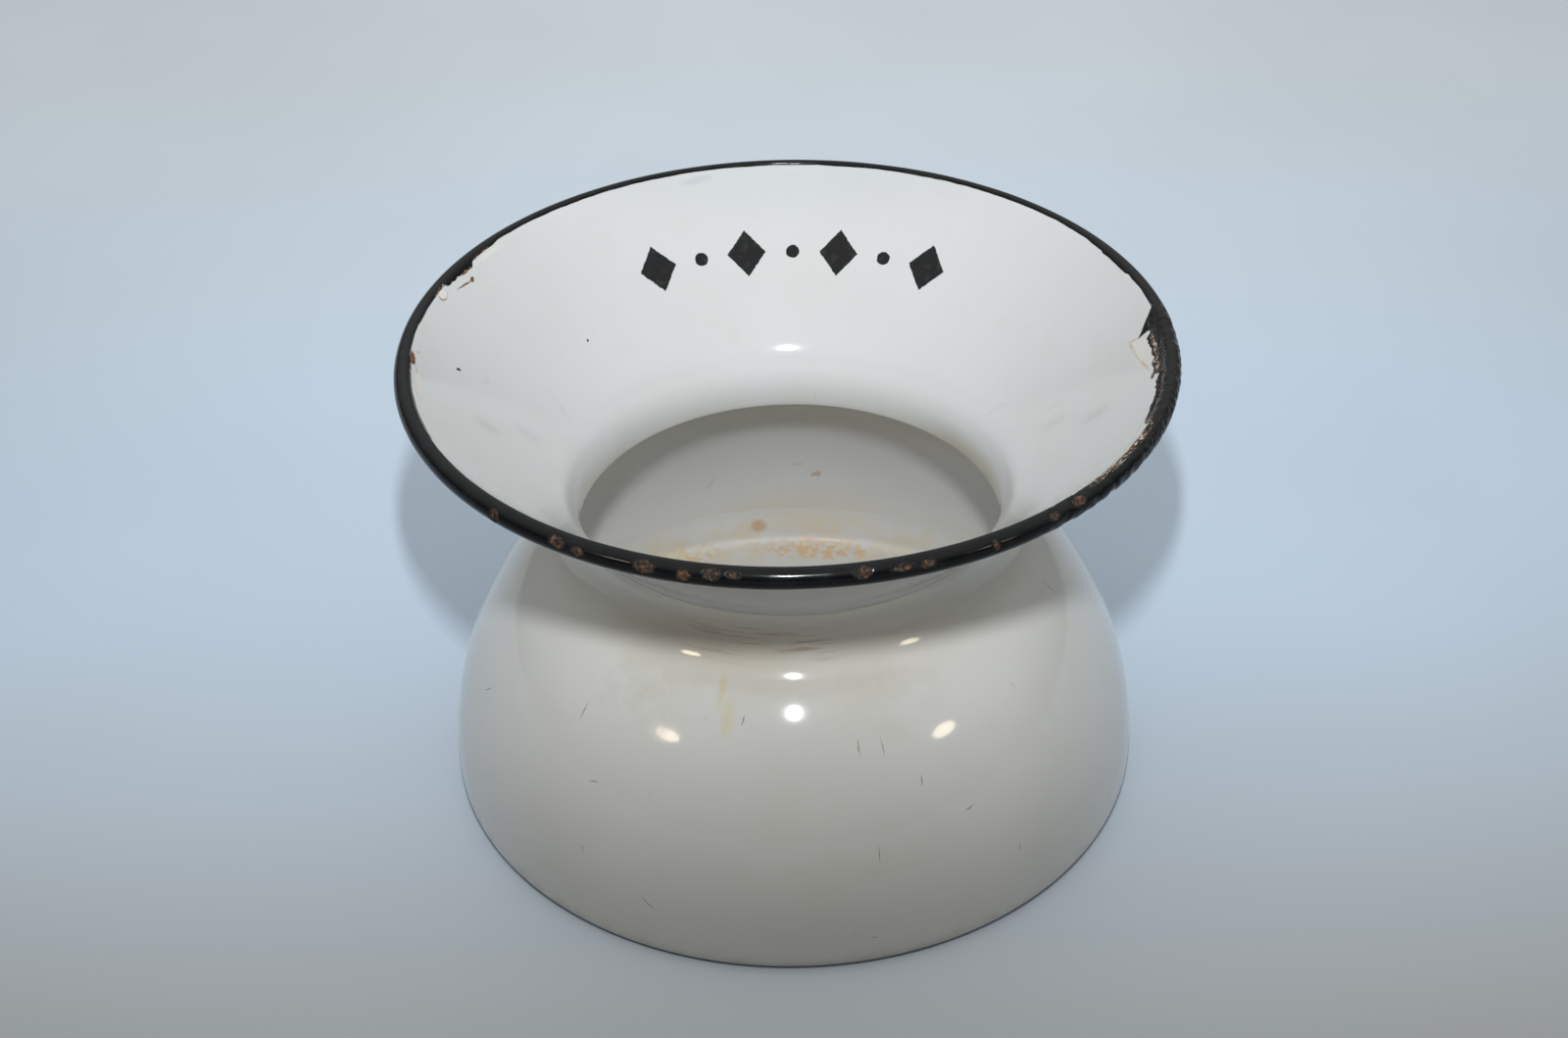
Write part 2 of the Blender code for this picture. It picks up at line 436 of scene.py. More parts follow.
def coat_section(azimuth):
    """Closed section of the black coat: (r, z, chip, edge, worn)."""
    low = math.radians(COAT_END_ANGLE - COAT_START_ANGLE) * BEAD_RADIUS / MM
    low += 0.25 + 0.35 * ring_noise(azimuth, 4.0, 11.0)
    high = coat_reach(azimuth)
    lumpy = plateau(azimuth, -52.0, 5.0, 5.0)
    outer = []
    for i in range(COAT_ROWS + 1):
        s = low + (high - low) * i / COAT_ROWS
        angle = COAT_START_ANGLE + math.degrees(s * MM / BEAD_RADIUS)
        worn = plateau(azimuth, -30.0, 7.0, 4.0) * plateau(angle, -50.0, 175.0, 20.0)
        full = COAT_FULL - 0.46 * ease(-1.6, 1.4, s)
        chip = chip_depth(azimuth, s)
        pit = 0.0
        if worn > 0.0:
            place = Vector((azimuth * 0.9, s * 0.85, 2.0))
            pit = worn * max(0.0, noise.noise(place) + 0.45 * noise.noise(place * 2.7) - 0.02)
        share = full / COAT_FULL
        height = full * (1.0 - 0.55 * ease(-0.20, 0.40, chip)) - 0.34 * min(pit, 0.6) * share
        if chip > 0.1:
            height += 0.07 * noise.noise(Vector((azimuth * 4.0, s * 4.0, 1.0)))
        height -= 0.03 * (1.0 + ring_noise(azimuth, 9.0, 2.0, s))
        height -= 0.30 * lumpy * max(0.0, ring_noise(azimuth, 2.3, 8.0, s) + 0.15) * share
        edge = min(s - low, high - s)
        height = 0.02 + max(0.02, height - 0.02) * ease(-0.25, 0.45, edge)
        outer.append((*coat_place(s, height * MM), chip, high - s, worn))
    inner = []
    for i in range(COAT_INNER_ROWS, -1, -1):
        s = low + (high - low) * i / COAT_INNER_ROWS
        inner.append((*coat_place(s, 0.005 * MM), -5.0, high - s, 0.0))
    return outer + inner


# Materials

class Finish:
    """One procedural material, painted in layers over the object's own coordinates, in mm."""

    def __init__(self, name, colour, roughness):
        self.material = bpy.data.materials.new(name)
        self.material.use_nodes = True
        self.nodes = self.material.node_tree.nodes
        self.links = self.material.node_tree.links
        self.shader = self.nodes["Principled BSDF"]
        self.colour = (*colour, 1.0)
        self.roughness = roughness
        self.relief = None
        coordinates = self.add("ShaderNodeTexCoord").outputs["Object"]
        self.place = self.vector("SCALE", coordinates, scale=1000.0)

    def put(self, socket, value):
        if isinstance(value, bpy.types.NodeSocket):
            self.links.new(value, socket)
        else:
            socket.default_value = value

    def add(self, kind, **settings):
        node = self.nodes.new(kind)
        for key, value in settings.items():
            setattr(node, key, value)
        return node

    def vector(self, operation, a, b=None, scale=None):
        node = self.add("ShaderNodeVectorMath", operation=operation)
        self.put(node.inputs[0], a)
        if b is not None:
            self.put(node.inputs[1], b)
        if scale is not None:
            self.put(node.inputs["Scale"], scale)
        single = operation in ("LENGTH", "DOT_PRODUCT")
        return node.outputs["Value" if single else "Vector"]

    def math(self, operation, a, b=0.0, c=0.0):
        node = self.add("ShaderNodeMath", operation=operation)
        for socket, value in zip(node.inputs, (a, b, c)):
            self.put(socket, value)
        return node.outputs[0]

    def step(self, value, low, high):
        node = self.add("ShaderNodeMapRange", interpolation_type="SMOOTHSTEP")
        self.put(node.inputs["Value"], value)
        self.put(node.inputs["From Min"], low)
        self.put(node.inputs["From Max"], high)
        return node.outputs[0]

    def mix(self, factor, a, b, kind="RGBA"):
        node = self.add("ShaderNodeMix", data_type=kind)
        first, second, result = (6, 7, 2) if kind == "RGBA" else (2, 3, 0)
        self.put(node.inputs[0], factor)
        self.put(node.inputs[first], a)
        self.put(node.inputs[second], b)
        return node.outputs[result]

    def noise(self, size, detail=3.0, stretch=None, whole=False, where=None):
        """Noise with features of about size, in mm. stretch divides the coordinates."""
        node = self.add("ShaderNodeTexNoise")
        where = where or self.place
        if stretch:
            where = self.vector("DIVIDE", where, stretch)
        self.put(node.inputs["Vector"], where)
        node.inputs["Scale"].default_value = 1.0 / size
        node.inputs["Detail"].default_value = detail
        return node.outputs["Color" if whole else "Fac"]

    def along_rim(self, across):
        """Coordinates that run along the rim, and across it, in mm."""
        split = self.add("ShaderNodeSeparateXYZ")
        self.put(split.inputs[0], self.place)
        angle = self.math("ARCTAN2", split.outputs["Y"], split.outputs["X"])
        joined = self.add("ShaderNodeCombineXYZ")
        self.put(joined.inputs["X"], self.math("MULTIPLY", angle, RIM_RADIUS / MM))
        self.put(joined.inputs["Y"], across)
        return joined.outputs[0]

    def value(self, name):
        return self.add("ShaderNodeAttribute", attribute_name=name).outputs["Fac"]

    def ragged(self, size, amount):
        """The coordinates pushed about by noise, for uneven outlines."""
        push = self.vector("SUBTRACT", self.noise(size, 3.0, whole=True), (0.5, 0.5, 0.5))
        return self.vector("ADD", self.place, self.vector("SCALE", push, scale=2.0 * amount))

    def local(self, where, spot, tilt, lean, size):
        """Coordinates in the frame of a mark at spot = (azimuth, r, z), with size 1 at its edge.
        Local x points up the surface, which leans back by lean, y round it and z out of it."""
        azimuth, r, z = spot
        a = math.radians(azimuth)
        turned = (Matrix.Rotation(a, 3, "Z") @ Matrix.Rotation(-math.radians(lean), 3, "Y")
                  @ Matrix.Rotation(math.radians(tilt), 3, "Z"))
        node = self.add("ShaderNodeMapping", vector_type="TEXTURE")
        self.put(node.inputs["Vector"], where)
        node.inputs["Location"].default_value = (r * math.cos(a), r * math.sin(a), z)
        node.inputs["Rotation"].default_value = turned.to_euler("XYZ")
        node.inputs["Scale"].default_value = size
        return node.outputs[0]

    def mark(self, where, spot, tilt, lean, size, soft=0.35):
        """Mask of one oval mark."""
        away = self.vector("LENGTH", self.local(where, spot, tilt, lean, size))
        return self.step(away, 1.0 + soft / 2.0, 1.0 - soft / 2.0)

    def either(self, masks):
        result = masks[0]
        for mask in masks[1:]:
            result = self.math("MAXIMUM", result, mask)
        return result

    def times(self, *values):
        result = values[0]
        for value in values[1:]:
            result = self.math("MULTIPLY", result, value)
        return result

    def paint(self, mask, colour):
        colour = (*colour, 1.0) if isinstance(colour, tuple) else colour
        self.colour = self.mix(mask, self.colour, colour)

    def tone(self, mask, factors):
        """Multiplies the colour, and so keeps the detail under it."""
        node = self.add("ShaderNodeMix", data_type="RGBA", blend_type="MULTIPLY")
        self.put(node.inputs[0], mask)
        self.put(node.inputs[6], self.colour)
        node.inputs[7].default_value = (*factors, 1.0)
        self.colour = node.outputs[2]

    def dull(self, mask, roughness):
        self.roughness = self.mix(mask, self.roughness, roughness, "FLOAT")

    def lift(self, height, amount):
        """Relief: height is 0 to 1, and amount its size in mm."""
        layer = self.math("MULTIPLY", height, amount)
        self.relief = layer if self.relief is None else self.math("ADD", self.relief, layer)

    def finish(self, coat=0.0, coat_roughness=0.05, metallic=0.0, gloss=0.5):
        self.put(self.shader.inputs["Base Color"], self.colour)
        self.put(self.shader.inputs["Roughness"], self.roughness)
        self.shader.inputs["Metallic"].default_value = metallic
        self.shader.inputs["Specular IOR Level"].default_value = gloss
        self.shader.inputs["Coat Weight"].default_value = coat
        self.shader.inputs["Coat Roughness"].default_value = coat_roughness
        if self.relief is not None:
            bump = self.add("ShaderNodeBump")
            bump.inputs["Distance"].default_value = MM
            self.put(bump.inputs["Height"], self.relief)
            self.put(self.shader.inputs["Normal"], bump.outputs[0])
        return self.material


def enamel(name, colour, specks, roughness):
    """White vitreous enamel: faint clouding, iron specks, hairline scratches, a slow ripple."""
    white = Finish(name, colour, roughness)
    cloud = white.step(white.noise(38.0, 2.0), 0.35, 0.70)
    clouded = tuple(c * f for c, f in zip(colour, (0.955, 0.95, 0.925)))
    white.paint(white.times(cloud, 0.55), clouded)
    film = white.step(white.noise(9.0, 5.0), 0.52, 0.78)
    filmed = tuple(c * f for c, f in zip(colour, (0.95, 0.93, 0.88)))
    white.paint(white.times(film, 0.35), filmed)
    white.dull(film, 1.4 * roughness)
    cells = white.add("ShaderNodeTexVoronoi")
    white.put(cells.inputs["Vector"], white.place)
    cells.inputs["Scale"].default_value = 1.0 / 7.0
    tint = white.add("ShaderNodeSeparateColor")
    white.put(tint.inputs[0], cells.outputs["Color"])
    near = white.step(cells.outputs["Distance"], 0.034, 0.018)
    picked = white.math("GREATER_THAN", tint.outputs[0], 1.0 - specks)
    speck = white.times(near, picked, white.math("MULTIPLY_ADD", tint.outputs[1], 0.5, 0.3))
    white.paint(speck, (0.13, 0.10, 0.08))
    streak = white.noise(16.0, 1.0, (1.0, 1.0, 3.0))
    line = white.math("ABSOLUTE", white.math("SUBTRACT", streak, 0.5))
    gate = white.step(white.noise(7.0, 2.0), 0.66, 0.75)
    hair = white.times(white.step(line, 0.0035, 0.001), gate)
    white.paint(white.times(hair, 0.22), (0.30, 0.28, 0.25))
    white.lift(white.noise(14.0, 1.0), 0.010)
    white.lift(white.noise(2.2, 2.0), 0.0016)
    white.lift(hair, -0.004)
    return white


RUST_DARK = (0.040, 0.026, 0.020)
RUST = (0.180, 0.078, 0.032)
RUST_PALE = (0.50, 0.37, 0.23)
CREAM = (0.70, 0.66, 0.58)


def flare_material():
    white = enamel("flare_enamel", (0.72, 0.73, 0.735), 0.05, 0.115)
    rough = white.ragged(2.6, 0.8)
    fine = white.ragged(1.2, 0.3)
    ragged = white.ragged(1.1, 0.9)
    inside = white.value("inside")
    lean = WALL_SLOPE
    height = white.vector("DOT_PRODUCT", white.place, (0.0, 0.0, 1.0))
    # Painted shade: the inside of the funnel is toned darker than its outside, one same enamel
    white.tone(white.times(inside, white.step(height, 80.0, 90.5)), (0.855, 0.857, 0.862))

    def wall(azimuth, r):
        down = (WALL_TOP[0] / MM - r) * math.tan(math.radians(lean))
        return azimuth, r, WALL_TOP[1] / MM - down

    # A generic stencilled border: diamonds and dots
    cells = []
    for azimuth in (117.0, 98.0, 79.0, 60.0):
        at = white.local(fine, wall(azimuth, 75.0), 0.0, lean, (6.4, 5.2, 6.0))
        flat = white.vector("DOT_PRODUCT", white.vector("ABSOLUTE", at), (1.0, 1.0, 0.0))
        cells.append(white.step(flat, 1.03, 0.97))
    for azimuth in (107.5, 88.5, 69.5):
        at = white.local(fine, wall(azimuth, 75.0), 0.0, lean, (1.8, 1.8, 6.0))
        cells.append(white.step(white.vector("LENGTH", at), 1.07, 0.93))
    stencil = white.times(white.either(cells), inside)
    thin = white.step(white.noise(2.0, 4.0), 0.25, 0.50)
    cover = white.math("MULTIPLY_ADD", thin, 0.025, 0.972)
    white.paint(white.times(stencil, cover), (0.006, 0.006, 0.007))
    white.dull(stencil, 0.85)
    white.lift(stencil, 0.02)

    # Broken enamel beside the rim: pale where the top layer is off, brown where it has rusted
    pale = [
        white.mark(rough, wall(-171.5, 89.4), 0.0, lean, (1.1, 5.6, 3.0), 0.7),
        white.mark(rough, wall(0.5, 87.0), 8.0, lean, (2.6, 7.5, 3.0), 0.7),
        white.mark(rough, wall(-33.0, 90.3), 0.0, lean, (0.9, 12.0, 3.0)),
    ]
    white.paint(white.times(white.either(pale), inside, 0.42), CREAM)
    # Painted highlight: a paler streak along the edge of the black at 148 degrees
    streak = white.mark(rough, wall(148.0, 90.4), 0.0, lean, (0.6, 6.0, 3.0), 1.2)
    white.paint(white.times(streak, inside, 0.5), (0.72, 0.70, 0.68))
    under = white.mark(fine, wall(162.65, 90.4), 0.0, lean, (1.2, 1.7, 3.0), 0.4)
    white.paint(white.times(under, inside, 0.75), (0.33, 0.20, 0.12))
    blob = white.mark(fine, wall(162.2, 90.6), 0.0, lean, (1.2, 1.7, 3.0))
    white.paint(white.times(blob, inside), (0.70, 0.69, 0.68))
    white.lift(white.times(blob, inside), 0.12)
    brown = [
        white.mark(fine, wall(154.5, 88.7), 25.0, lean, (0.55, 0.95, 3.0), 0.6),
        white.mark(fine, wall(156.7, 88.9), -8.0, lean, (0.20, 3.0, 3.0), 0.9),
        white.mark(fine, wall(154.6, 90.5), 0.0, lean, (0.45, 1.7, 3.0), 0.6),
        white.mark(ragged, wall(-178.4, 90.9), 6.0, lean, (1.0, 2.7, 3.0), 0.5),
        white.mark(fine, wall(-8.2, 88.4), 0.0, lean, (0.6, 1.3, 3.0), 0.6),
    ]
    mottle = white.step(white.noise(0.9, 3.0), 0.30, 0.50)
    mottled = white.mix(mottle, (*RUST_DARK, 1.0), (*RUST, 1.0))
    white.paint(white.times(white.either(brown), inside), mottled)
    line = [
        white.mark(fine, wall(178.9, 89.8), -25.0, lean, (0.28, 1.0, 3.0), 0.9),
        white.mark(fine, wall(-176.0, 89.7), 12.0, lean, (0.25, 1.6, 3.0), 0.9),
        white.mark(fine, wall(5.05, 86.2), 63.0, lean, (0.42, 2.3, 3.0), 0.9),
        white.mark(fine, wall(3.0, 85.15), 5.0, lean, (0.42, 4.6, 3.0), 0.9),
        white.mark(fine, wall(-2.6, 86.45), 18.0, lean, (0.42, 5.2, 3.0), 0.9),
    ]
    flaked = ((-24.0, 89.0), (-28.0, 89.7), (-32.5, 90.0), (-37.0, 89.9), (-42.0, 90.4))
    line += [white.mark(fine, wall(azimuth, r), 1.5, lean, (0.30, 4.6, 3.0), 0.9)
             for azimuth, r in flaked]
    broken = white.step(white.noise(1.6, 3.0), 0.30, 0.52)
    white.paint(white.times(white.either(line), inside, broken, 0.62), RUST_PALE)
    white.lift(white.times(white.either(pale + brown), inside), -0.08)
    white.dull(white.either(pale + brown), 0.55)

    # Black speck, blue-grey scuff, and wear lines low in the funnel
    speck = [
        white.mark(fine, wall(175.0, 81.6), 35.0, lean, (0.75, 0.45, 3.0)),
        white.mark(fine, wall(140.2, 67.8), 0.0, lean, (0.4, 0.3, 3.0)),
    ]
    white.paint(white.times(white.either(speck), inside), (0.03, 0.027, 0.025))
    scuff = white.mark(rough, wall(105.3, 90.0), 3.0, lean, (0.9, 4.0, 3.0), 0.9)
    white.paint(white.times(scuff, inside, 0.5), (0.48, 0.51, 0.56))
    wear = [
        white.mark(rough, wall(22.9, 58.5), 55.0, lean, (0.5, 4.0, 3.0), 0.8),
        white.mark(rough, wall(7.6, 67.3), 60.0, lean, (0.5, 4.5, 3.0), 0.8),
        white.mark(rough, wall(160.0, 62.0), 80.0, lean, (0.5, 5.0, 3.0), 0.8),
        white.mark(rough, wall(172.0, 76.0), 0.0, lean, (0.9, 1.8, 3.0), 0.8),
    ]
    white.paint(white.times(white.either(wear), inside, 0.14), (0.42, 0.41, 0.37))

    # A warmer, darker tone low in the throat, stronger in a patch on its side
    low = white.step(height, 78.0, 71.0)
    white.tone(white.times(low, inside), (0.90, 0.885, 0.84))
    side = white.mark(white.place, (20.0, 54.0, 71.5), 0.0, 90.0, (6.0, 34.0, 9.0), 1.3)
    white.tone(white.times(side, inside), (0.80, 0.78, 0.70))
    # Painted shade: the top of the back of the funnel is toned a little darker
    far = white.mark(white.place, wall(90.0, 93.0), 0.0, lean, (15.0, 75.0, 30.0), 1.4)
    white.tone(white.times(far, inside), (0.915, 0.925, 0.935))
    # A yellow spot under the bead
    spot = white.mark(fine, (-84.0, 88.4, 120.2), 0.0, 130.0, (1.2, 1.9, 4.0), 0.8)
    white.paint(white.times(spot, white.math("SUBTRACT", 1.0, inside), 0.6), (0.50, 0.44, 0.22))
    return white.finish(0.18, 0.03, gloss=0.30)


def bowl_material():
    white = enamel("bowl_enamel", (0.708, 0.710, 0.70), 0.16, 0.085)
    rough = white.ragged(5.0, 2.4)
    fine = white.ragged(1.2, 0.25)
    ragged = white.ragged(1.4, 1.2)
    inside = white.value("inside")
    outside = white.math("SUBTRACT", 1.0, inside)

    # The inside is duller and a little olive, partly from use and partly in place of shade that
    # the plain light doesn't give
    across = white.math("ABSOLUTE", white.vector("DOT_PRODUCT", white.place, (1.0, 0.0, 0.0)))
    middle = white.math("MULTIPLY_ADD", white.step(across, 15.0, 70.0), -0.8, 1.0)
    white.tone(white.times(inside, middle), (0.89, 0.885, 0.905))
    height = white.vector("DOT_PRODUCT", white.place, (0.0, 0.0, 1.0))
    white.tone(white.times(inside, white.step(height, 44.0, 60.0)), (0.85, 0.845, 0.745))
    white.dull(inside, 0.42)

    # A darker film over the front of the belly, partly dirt and partly in place of shade
    film = white.mark(white.place, (-90.0, 84.0, 36.0), 0.0, 70.0, (42.0, 44.0, 40.0), 1.4)
    white.tone(white.times(film, outside), (0.80, 0.795, 0.78))

    # Yellowish dirt on the shoulder and a dried drip
    dirt = [
        white.mark(rough, (-121.0, 68.0, 63.0), 0.0, 50.0, (7.0, 13.0, 9.0), 1.2),
        white.mark(rough, (-72.0, 66.0, 64.0), 0.0, 50.0, (8.0, 12.0, 9.0), 1.2),
    ]
    streaks = white.step(white.noise(6.5, 4.0), 0.32, 0.72)
    dirty = white.times(white.either(dirt), outside, streaks)
    white.paint(white.times(dirty, 0.5), (0.55, 0.53, 0.46))
    white.dull(dirty, 0.32)
    run = white.ragged(3.0, 1.0)
    drip = [
        white.mark(run, (-105.3, 63.8, 66.3), 12.0, 45.0, (4.6, 0.9, 4.0), 1.2),
        white.mark(run, (-103.2, 68.2, 62.1), 12.0, 48.0, (2.2, 1.6, 4.0), 1.2),
    ]
    white.paint(white.times(white.either(drip), outside, 0.5), (0.60, 0.53, 0.31))

    # Rust-brown wiped streaks round the front of the neck, over a warmer tone on the neck
    white.tone(white.times(white.step(height, 60.0, 72.0), outside), (1.0, 0.975, 0.925))
    wipe = white.step(white.noise(1.7, 4.0, (8.0, 8.0, 0.5)), 0.50, 0.66)
    band = white.times(white.step(height, 70.0, 73.5), white.step(height, 81.0, 78.0))
    front = white.mark(white.place, (-98.0, 56.0, 76.0), 0.0, 90.0, (9.0, 17.0, 10.0), 1.1)
    white.paint(white.times(wipe, band, front, outside, 0.62), (0.34, 0.19, 0.11))
    halo = white.mark(rough, (-112.0, 57.5, 74.0), 0.0, 70.0, (6.0, 26.0, 9.0), 1.5)
    white.paint(white.times(halo, outside, 0.42), (0.50, 0.43, 0.34))

    # Scratches and dark nicks
    nicks = [
        ((-133.0, 74.2, 55.1), 10.0, (1.8, 0.16)), ((-126.5, 81.5, 42.2), 75.0, (1.6, 0.16)),
        ((-114.0, 88.7, 16.8), 120.0, (2.6, 0.18)), ((-78.0, 73.0, 56.6), 0.0, (1.1, 0.22)),
        ((-73.5, 73.7, 55.8), -5.0, (1.4, 0.15)), ((-76.5, 85.1, 32.9), 0.0, (1.9, 0.14)),
        ((-67.5, 78.9, 47.3), 10.0, (0.9, 0.20)), ((-60.0, 83.4, 37.6), 80.0, (1.6, 0.15)),
        ((-100.0, 68.2, 62.2), 40.0, (0.5, 0.24)), ((-126.5, 87.3, 24.9), -12.0, (0.9, 0.16)),
        ((-51.5, 88.0, 21.7), 5.0, (0.8, 0.20)), ((-78.0, 89.4, 10.2), 85.0, (1.2, 0.14)),
        ((-16.0, 67.3, 63.2), -8.0, (2.2, 0.14)),
        ((-160.0, 82.0, 41.0), 60.0, (2.4, 0.15)), ((35.0, 78.0, 49.0), 30.0, (1.9, 0.16)),
        ((82.0, 84.0, 36.0), -40.0, (2.6, 0.15)), ((128.0, 72.0, 58.0), 15.0, (1.6, 0.17)),
    ]
    marks = [white.mark(fine, spot, tilt, 60.0, (0.8 * size[0], 0.62 * size[1], 3.0), 0.9)
             for spot, tilt, size in nicks]
    nick = white.times(white.either(marks), outside)
    white.paint(white.times(nick, 0.8), (0.17, 0.155, 0.135))
    white.lift(nick, -0.03)

    # Wear and grime round the foot, and painted shade that darkens the lower side
    # Painted shade: the lower body darkens towards the foot, less at its left and right
    sides = white.math("MULTIPLY_ADD", white.step(across, 58.0, 89.0), -0.55, 1.0)
    white.tone(white.times(white.step(height, 64.0, 2.0), outside, sides), (0.60, 0.593, 0.577))
    foot = white.times(white.step(height, 9.0, 0.8), outside)
    grime = white.times(foot, white.step(white.noise(4.0, 5.0), 0.38, 0.66))
    white.paint(white.times(grime, 0.7), (0.30, 0.265, 0.21))
    bare = white.times(white.step(height, 0.9, 0.15), white.step(white.noise(7.0, 5.0), 0.46, 0.56))
    white.paint(white.times(bare, outside), RUST_DARK)
    white.dull(bare, 0.6)

    # Stains inside: faint tide marks, a rust spot above the floor and a small one on the back
    tide = white.times(white.step(height, 20.0, 9.0), inside)
    tide = white.times(tide, white.step(white.noise(7.0, 5.0, (4.0, 4.0, 0.7)), 0.36, 0.70))
    white.paint(white.times(tide, 0.50), (0.60, 0.54, 0.38))
    haze = white.mark(rough, (87.0, 87.0, 13.0), 0.0, 90.0, (8.0, 21.0, 8.0), 1.5)
    white.paint(white.times(haze, inside, 0.40), (0.58, 0.53, 0.40))
    spots = [
        (white.mark(ragged, (84.7, 85.7, 27.3), 25.0, 80.0, (0.9, 1.6, 4.0), 0.8),
         0.65, (0.42, 0.27, 0.15)),
        (white.mark(fine, (88.1, 84.5, 31.5), 0.0, 80.0, (0.5, 1.9, 4.0), 0.9),
         0.3, (0.40, 0.33, 0.24)),
        (white.mark(fine, (105.4, 86.0, 26.2), 60.0, 80.0, (0.5, 2.4, 4.0), 0.9),
         0.25, (0.42, 0.36, 0.27)),
    ]
    for mask, weight, colour in spots:
        white.paint(white.times(mask, inside, weight), colour)
    return white.finish(0.25, 0.03)


def pan_material():
    # The pan's white is darker than the bowl's outside: partly from use, partly painted shade
    white = enamel("pan_enamel", (0.595, 0.595, 0.59), 0.20, 0.16)
    rough = white.ragged(4.0, 2.2)
    fine = white.ragged(1.2, 0.3)
    height = white.vector("DOT_PRODUCT", white.place, (0.0, 0.0, 1.0))
    radial = white.vector("LENGTH", white.vector("MULTIPLY", white.place, (1.0, 1.0, 0.0)))
    upper = white.value("inside")
    lower = white.math("SUBTRACT", 1.0, upper)
    white.dull(upper, 0.55)

    # Orange-brown stain in the corner of the floor, at the back, and a paler one all round
    ring = white.times(white.step(radial, 70.0, 82.0), white.step(height, 14.0, 7.0), upper)
    blotch = white.step(white.noise(6.0, 5.0), 0.40, 0.66)
    white.paint(white.times(ring, blotch, 0.45), (0.62, 0.52, 0.33))
    spots = white.step(white.noise(2.4, 4.0), 0.42, 0.56)
    orange = white.mark(rough, (84.0, 82.0, 3.2), 0.0, 0.0, (3.8, 17.0, 3.5), 1.0)
    white.paint(white.times(orange, spots, upper, 0.72), (0.66, 0.39, 0.16))
    yellow = white.mark(rough, (111.0, 83.5, 3.2), 0.0, 0.0, (3.4, 12.0, 3.5), 1.2)
    white.paint(white.times(yellow, spots, upper, 0.72), (0.64, 0.46, 0.21))
    band = white.mark(rough, (87.0, 88.0, 9.5), 0.0, 90.0, (3.4, 16.0, 6.0), 1.4)
    white.paint(white.times(band, upper, 0.45), (0.58, 0.52, 0.38))
    round_spot = white.mark(fine, (96.1, 88.3, 7.8), 0.0, 90.0, (1.9, 2.2, 5.0), 0.9)
    white.paint(white.times(round_spot, upper, 0.70), (0.50, 0.29, 0.14))
    white.dull(white.times(ring, blotch), 0.35)

    # Underside: scuffs, grime in the step and rust spots near the ring
    scuff = white.step(white.noise(3.0, 5.0, (5.0, 1.0, 1.0)), 0.60, 0.68)
    white.paint(white.times(scuff, lower, 0.5), (0.38, 0.36, 0.32))
    groove = white.times(white.step(radial, 64.0, 69.0), white.step(radial, 83.0, 72.0), lower)
    white.paint(white.times(groove, blotch, 0.7), (0.34, 0.27, 0.19))
    rust = white.times(white.step(white.noise(11.0, 6.0), 0.66, 0.70), lower)
    white.paint(rust, RUST)
    white.dull(rust, 0.7)
    return white.finish()


